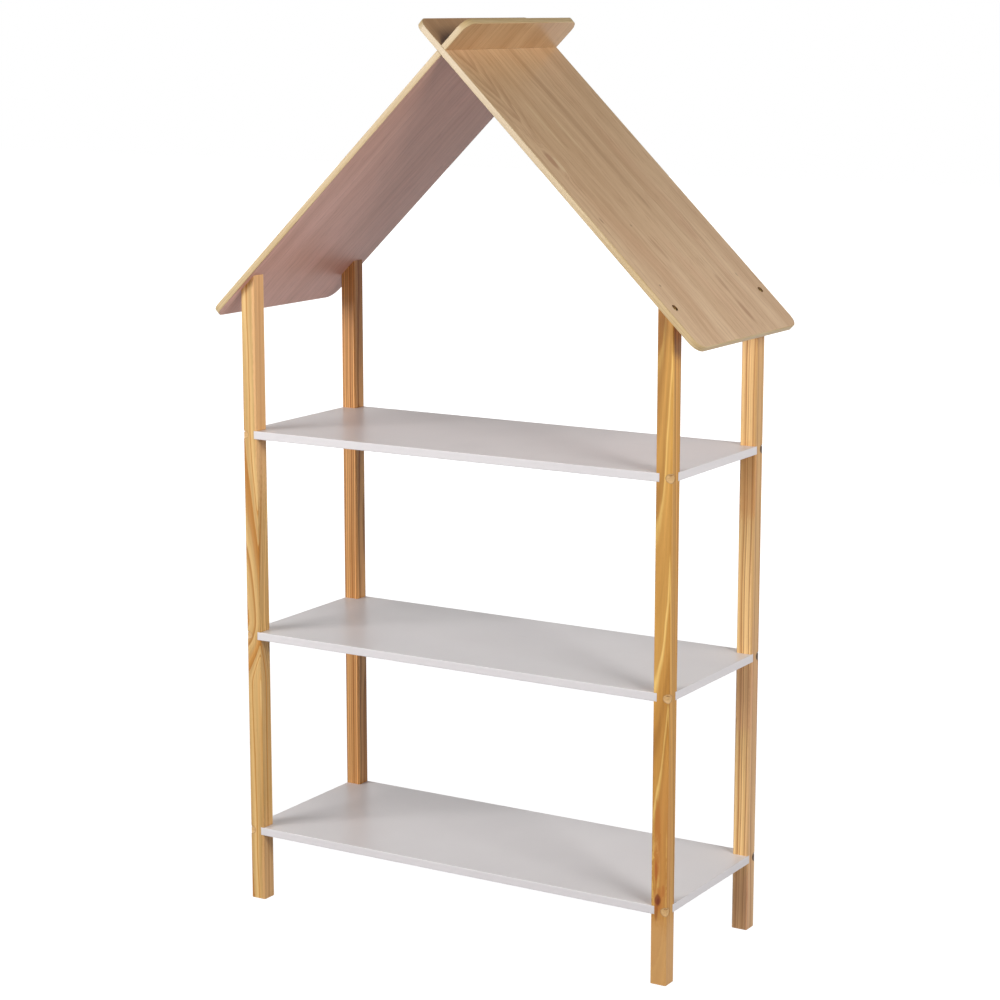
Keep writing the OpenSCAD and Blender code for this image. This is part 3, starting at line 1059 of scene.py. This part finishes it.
    def _cut_slot(self, mesh: bmesh.types.BMesh) -> None:
        """Opens the band at the front, where the other board comes through.

        Args:
            mesh: Band of a flat board.
        """
        across = math.pi / 2 - 2 * self.pitch
        normal = Vector((math.cos(across), 0, math.sin(across)))
        ridge = Vector((self.to_ridge, 0, 0))
        near = ridge - normal * self.slot_gap
        far = ridge + normal * (self.thickness + self.slot_gap)
        for point in (near, far):
            front = [face for face in mesh.faces if face.calc_center_median().y < 0]
            parts = {item for face in front for item in (*face.verts, *face.edges, face)}
            bmesh.ops.bisect_plane(mesh, geom=list(parts), dist=1e-7, plane_co=point, plane_no=normal)
        between = []
        for face in mesh.faces:
            middle = face.calc_center_median()
            if middle.y < 0 and (middle - near).dot(normal) > 0 > (middle - far).dot(normal):
                between.append(face)
        bmesh.ops.delete(mesh, geom=between, context="FACES")
        bmesh.ops.holes_fill(mesh, edges=[edge for edge in mesh.edges if edge.is_boundary])


@dataclass
class Fasteners:
    """Bolts, barrel nuts, the plugs over the bolts, and roof screws.

    Attributes:
        levels: Names of the three shelves.
    """

    levels: tuple[str, ...] = ("bottom", "middle", "top")

    def dress(self) -> None:
        """Gives all fasteners their finishes."""
        zinc = Plating("zinc", (206, 207, 210), (170, 172, 176)).material()
        yellow = Plating("yellow_zinc", (226, 196, 128), (190, 156, 92)).material()
        cap_wood = CapWood().material()
        for level in self.levels:
            dress(f"caps_{level}_shelf", cap_wood)
            dress(f"bolts_{level}_shelf", zinc)
            dress(f"barrel_nuts_{level}_shelf", zinc)
        dress("roof_screws_left", yellow)
        dress("roof_screws_right", yellow)


def dress(node: str, material: bpy.types.Material) -> None:
    """Gives a node of the frame its material.

    Args:
        node: Name of the node.
        material: Its material.
    """
    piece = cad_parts[node]
    piece.data.materials.clear()
    piece.data.materials.append(material)
    LOG.info("dressed %s with %s", node, material.name)


def piece_from(mesh: bmesh.types.BMesh, name: str) -> bpy.types.Object:
    """Turns a finished bmesh into a smooth-shaded object at the origin.

    Args:
        mesh: The bmesh, which is freed.
        name: Name of the piece.

    Returns:
        The new object, linked to the scene.
    """
    bmesh.ops.recalc_face_normals(mesh, faces=mesh.faces)
    data = bpy.data.meshes.new(name)
    mesh.to_mesh(data)
    mesh.free()
    data.shade_smooth()
    data.set_sharp_from_angle(angle=math.radians(35))
    piece = bpy.data.objects.new(name, data)
    bpy.context.scene.collection.objects.link(piece)
    return piece


@dataclass(frozen=True)
class Lamp:
    """A soft studio lamp aimed at the middle of the bookcase.

    Attributes:
        name: Name of the lamp.
        azimuth: Where it stands, in degrees from the front towards the right.
        elevation: Its height above the horizon of the aim, in degrees.
        distance: Distance from the aim.
        size: Side of its square face.
        power: Its power in watts.
        mirrored: Whether glossy surfaces mirror it.
    """

    name: str
    azimuth: float
    elevation: float
    distance: float
    size: float
    power: float
    mirrored: bool = True

    def place(self, aim: Vector) -> None:
        """Makes the lamp.

        Args:
            aim: Point that it faces.
        """
        light = bpy.data.lights.new(self.name, "AREA")
        light.shape = "SQUARE"
        light.size = self.size
        light.energy = self.power
        lamp = bpy.data.objects.new(self.name, light)
        lamp.visible_glossy = self.mirrored
        turn, rise = math.radians(self.azimuth), math.radians(self.elevation)
        away = Vector((math.sin(turn) * math.cos(rise), -math.cos(turn) * math.cos(rise), math.sin(rise)))
        lamp.location = aim + away * self.distance
        lamp.rotation_euler = away.to_track_quat("Z", "Y").to_euler()
        bpy.context.scene.collection.objects.link(lamp)


@dataclass(frozen=True)
class Studio:
    """Floor, light, background and camera.

    Attributes:
        camera_place: Place of the camera.
        camera_turn: Its turn from straight ahead towards the left, in degrees.
        camera_tilt: Its tilt below the horizon, in degrees.
        focal_length: Focal length for a square picture on a 36 mm sensor, in millimetres.
        aim: Point that the lamps face.
        lamps: The lamps.
        floor_size: Side of the floor.
        floor_colour: Colour with which the floor passes light on.
        floor_lift: How much brighter the camera sees the floor's own glow.
        floor_glow: Share of that glow beside the bookcase. The rest shows the shadow.
        shadow_reach: Distances between which the shadow gives way to the glow.
        ambient: Colour of the surrounding light.
        ambient_strength: Its strength.
        overhead: Heights of a reflected direction between which the white backdrop fades.
        overhead_white: Strength of the backdrop above them.
    """

    camera_place: Triple = (1.8756, -3.1084, 1.3193)
    camera_turn: float = 31.08
    camera_tilt: float = 10.9
    focal_length: float = 92.6
    aim: Triple = (0.0, 0.0, 0.6)
    lamps: tuple[Lamp, ...] = (
        Lamp("left_lamp", -35, 18, 4.0, 2.0, 126),
        Lamp("right_lamp", 65, 25, 4.0, 1.2, 72),
        Lamp("low_right_lamp", 85, 14, 4.0, 1.2, 34),
        Lamp("back_lamp", 205, 5, 4.0, 2.0, 50, mirrored=False),
    )
    floor_size: float = 30.0
    floor_colour: Shade = (0.45, 0.435, 0.47, 1)
    floor_lift: float = 0.28
    floor_glow: float = 0.80
    shadow_reach: tuple[float, float] = (0.9, 3.5)
    ambient: Shade = (0.97, 0.94, 1.0, 1)
    ambient_strength: float = 0.035
    overhead: tuple[float, float] = (0.2, 0.62)
    overhead_white: float = 0.12

    def build(self) -> None:
        """Makes everything that stands round the bookcase."""
        self._camera()
        self._floor()
        self._world()
        for lamp in self.lamps:
            lamp.place(Vector(self.aim))
        bpy.context.scene.view_settings.view_transform = "Standard"

    def _camera(self) -> None:
        """Makes the camera at the viewpoint of the photograph."""
        data = bpy.data.cameras.new("camera")
        data.sensor_width = 36
        data.lens = self.focal_length
        data.clip_end = 100
        camera = bpy.data.objects.new("camera", data)
        camera.location = self.camera_place
        camera.rotation_euler = (math.radians(90 - self.camera_tilt), 0, math.radians(self.camera_turn))
        bpy.context.scene.collection.objects.link(camera)
        bpy.context.scene.camera = camera

    def _floor(self) -> None:
        """Makes a pale floor that the camera sees almost white, with a faint shadow."""
        mesh = bmesh.new()
        bmesh.ops.create_grid(mesh, x_segments=1, y_segments=1, size=self.floor_size / 2)
        floor = piece_from(mesh, "floor")
        graph = Graph(bpy.data.materials.new("floor"))
        diffuse = graph.node("ShaderNodeBsdfDiffuse")
        diffuse.inputs["Color"].default_value = self.floor_colour
        glow = graph.node("ShaderNodeEmission")
        glow.inputs["Color"].default_value = WHITE
        camera_sees = graph.node("ShaderNodeLightPath").outputs["Is Camera Ray"]
        graph.feed(glow.inputs["Strength"], graph.math("MULTIPLY_ADD", camera_sees, self.floor_lift, 1.0))
        far = graph.smooth(graph.vector("LENGTH", graph.place()), *self.shadow_reach)
        share = graph.times(self._seen(graph), graph.span(far, self.floor_glow, 1.0))
        self._close(graph, "ShaderNodeOutputMaterial", share, diffuse, glow)
        floor.data.materials.append(graph.owner)

    def _world(self) -> None:
        """Makes a soft surrounding light, and a white backdrop that reflections see fade overhead."""
        graph = Graph(bpy.data.worlds.new("studio"))
        light = graph.node("ShaderNodeBackground")
        light.inputs["Color"].default_value = self.ambient
        light.inputs["Strength"].default_value = self.ambient_strength
        white = graph.node("ShaderNodeBackground")
        white.inputs["Color"].default_value = WHITE
        height = graph.part(graph.node("ShaderNodeTexCoord").outputs["Generated"], "Z")
        fading = graph.span(graph.smooth(height, *self.overhead), 1.0, self.overhead_white)
        camera_sees = graph.node("ShaderNodeLightPath").outputs["Is Camera Ray"]
        graph.feed(white.inputs["Strength"], graph.math("MAXIMUM", fading, camera_sees))
        self._close(graph, "ShaderNodeOutputWorld", self._seen(graph), light, white)
        bpy.context.scene.world = graph.owner

    def _close(self, graph: Graph, output: str, share: Value, passed: bpy.types.Node,
               shown: bpy.types.Node) -> None:
        """Ends a tree with a blend of two shaders.

        Args:
            graph: The tree.
            output: Blender's name of the output's type.
            share: Share of the second shader.
            passed: Shader that passes light on.
            shown: Shader that is seen.
        """
        blend = graph.node("ShaderNodeMixShader")
        for socket, value in zip(blend.inputs, (share, passed.outputs[0], shown.outputs[0])):
            graph.feed(socket, value)
        graph.feed(graph.node(output).inputs["Surface"], blend.outputs[0])

    def _seen(self, graph: Graph) -> Socket:
        """1 for what the camera or a reflection sees, 0 for what only passes light on.

        Args:
            graph: Tree of the floor's material or of the world.

        Returns:
            The share.
        """
        path = graph.node("ShaderNodeLightPath").outputs
        direct = graph.math("MAXIMUM", path["Is Camera Ray"], path["Is Glossy Ray"])
        return graph.math("MAXIMUM", direct, path["Is Transmission Ray"])


def main() -> None:
    """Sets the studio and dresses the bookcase."""
    logging.basicConfig(level=logging.INFO, format="%(name)s: %(message)s")
    Studio().build()
    Posts().dress()
    Shelves().dress()
    Roof().dress()
    Fasteners().dress()


if __name__ == "__main__":
    main()
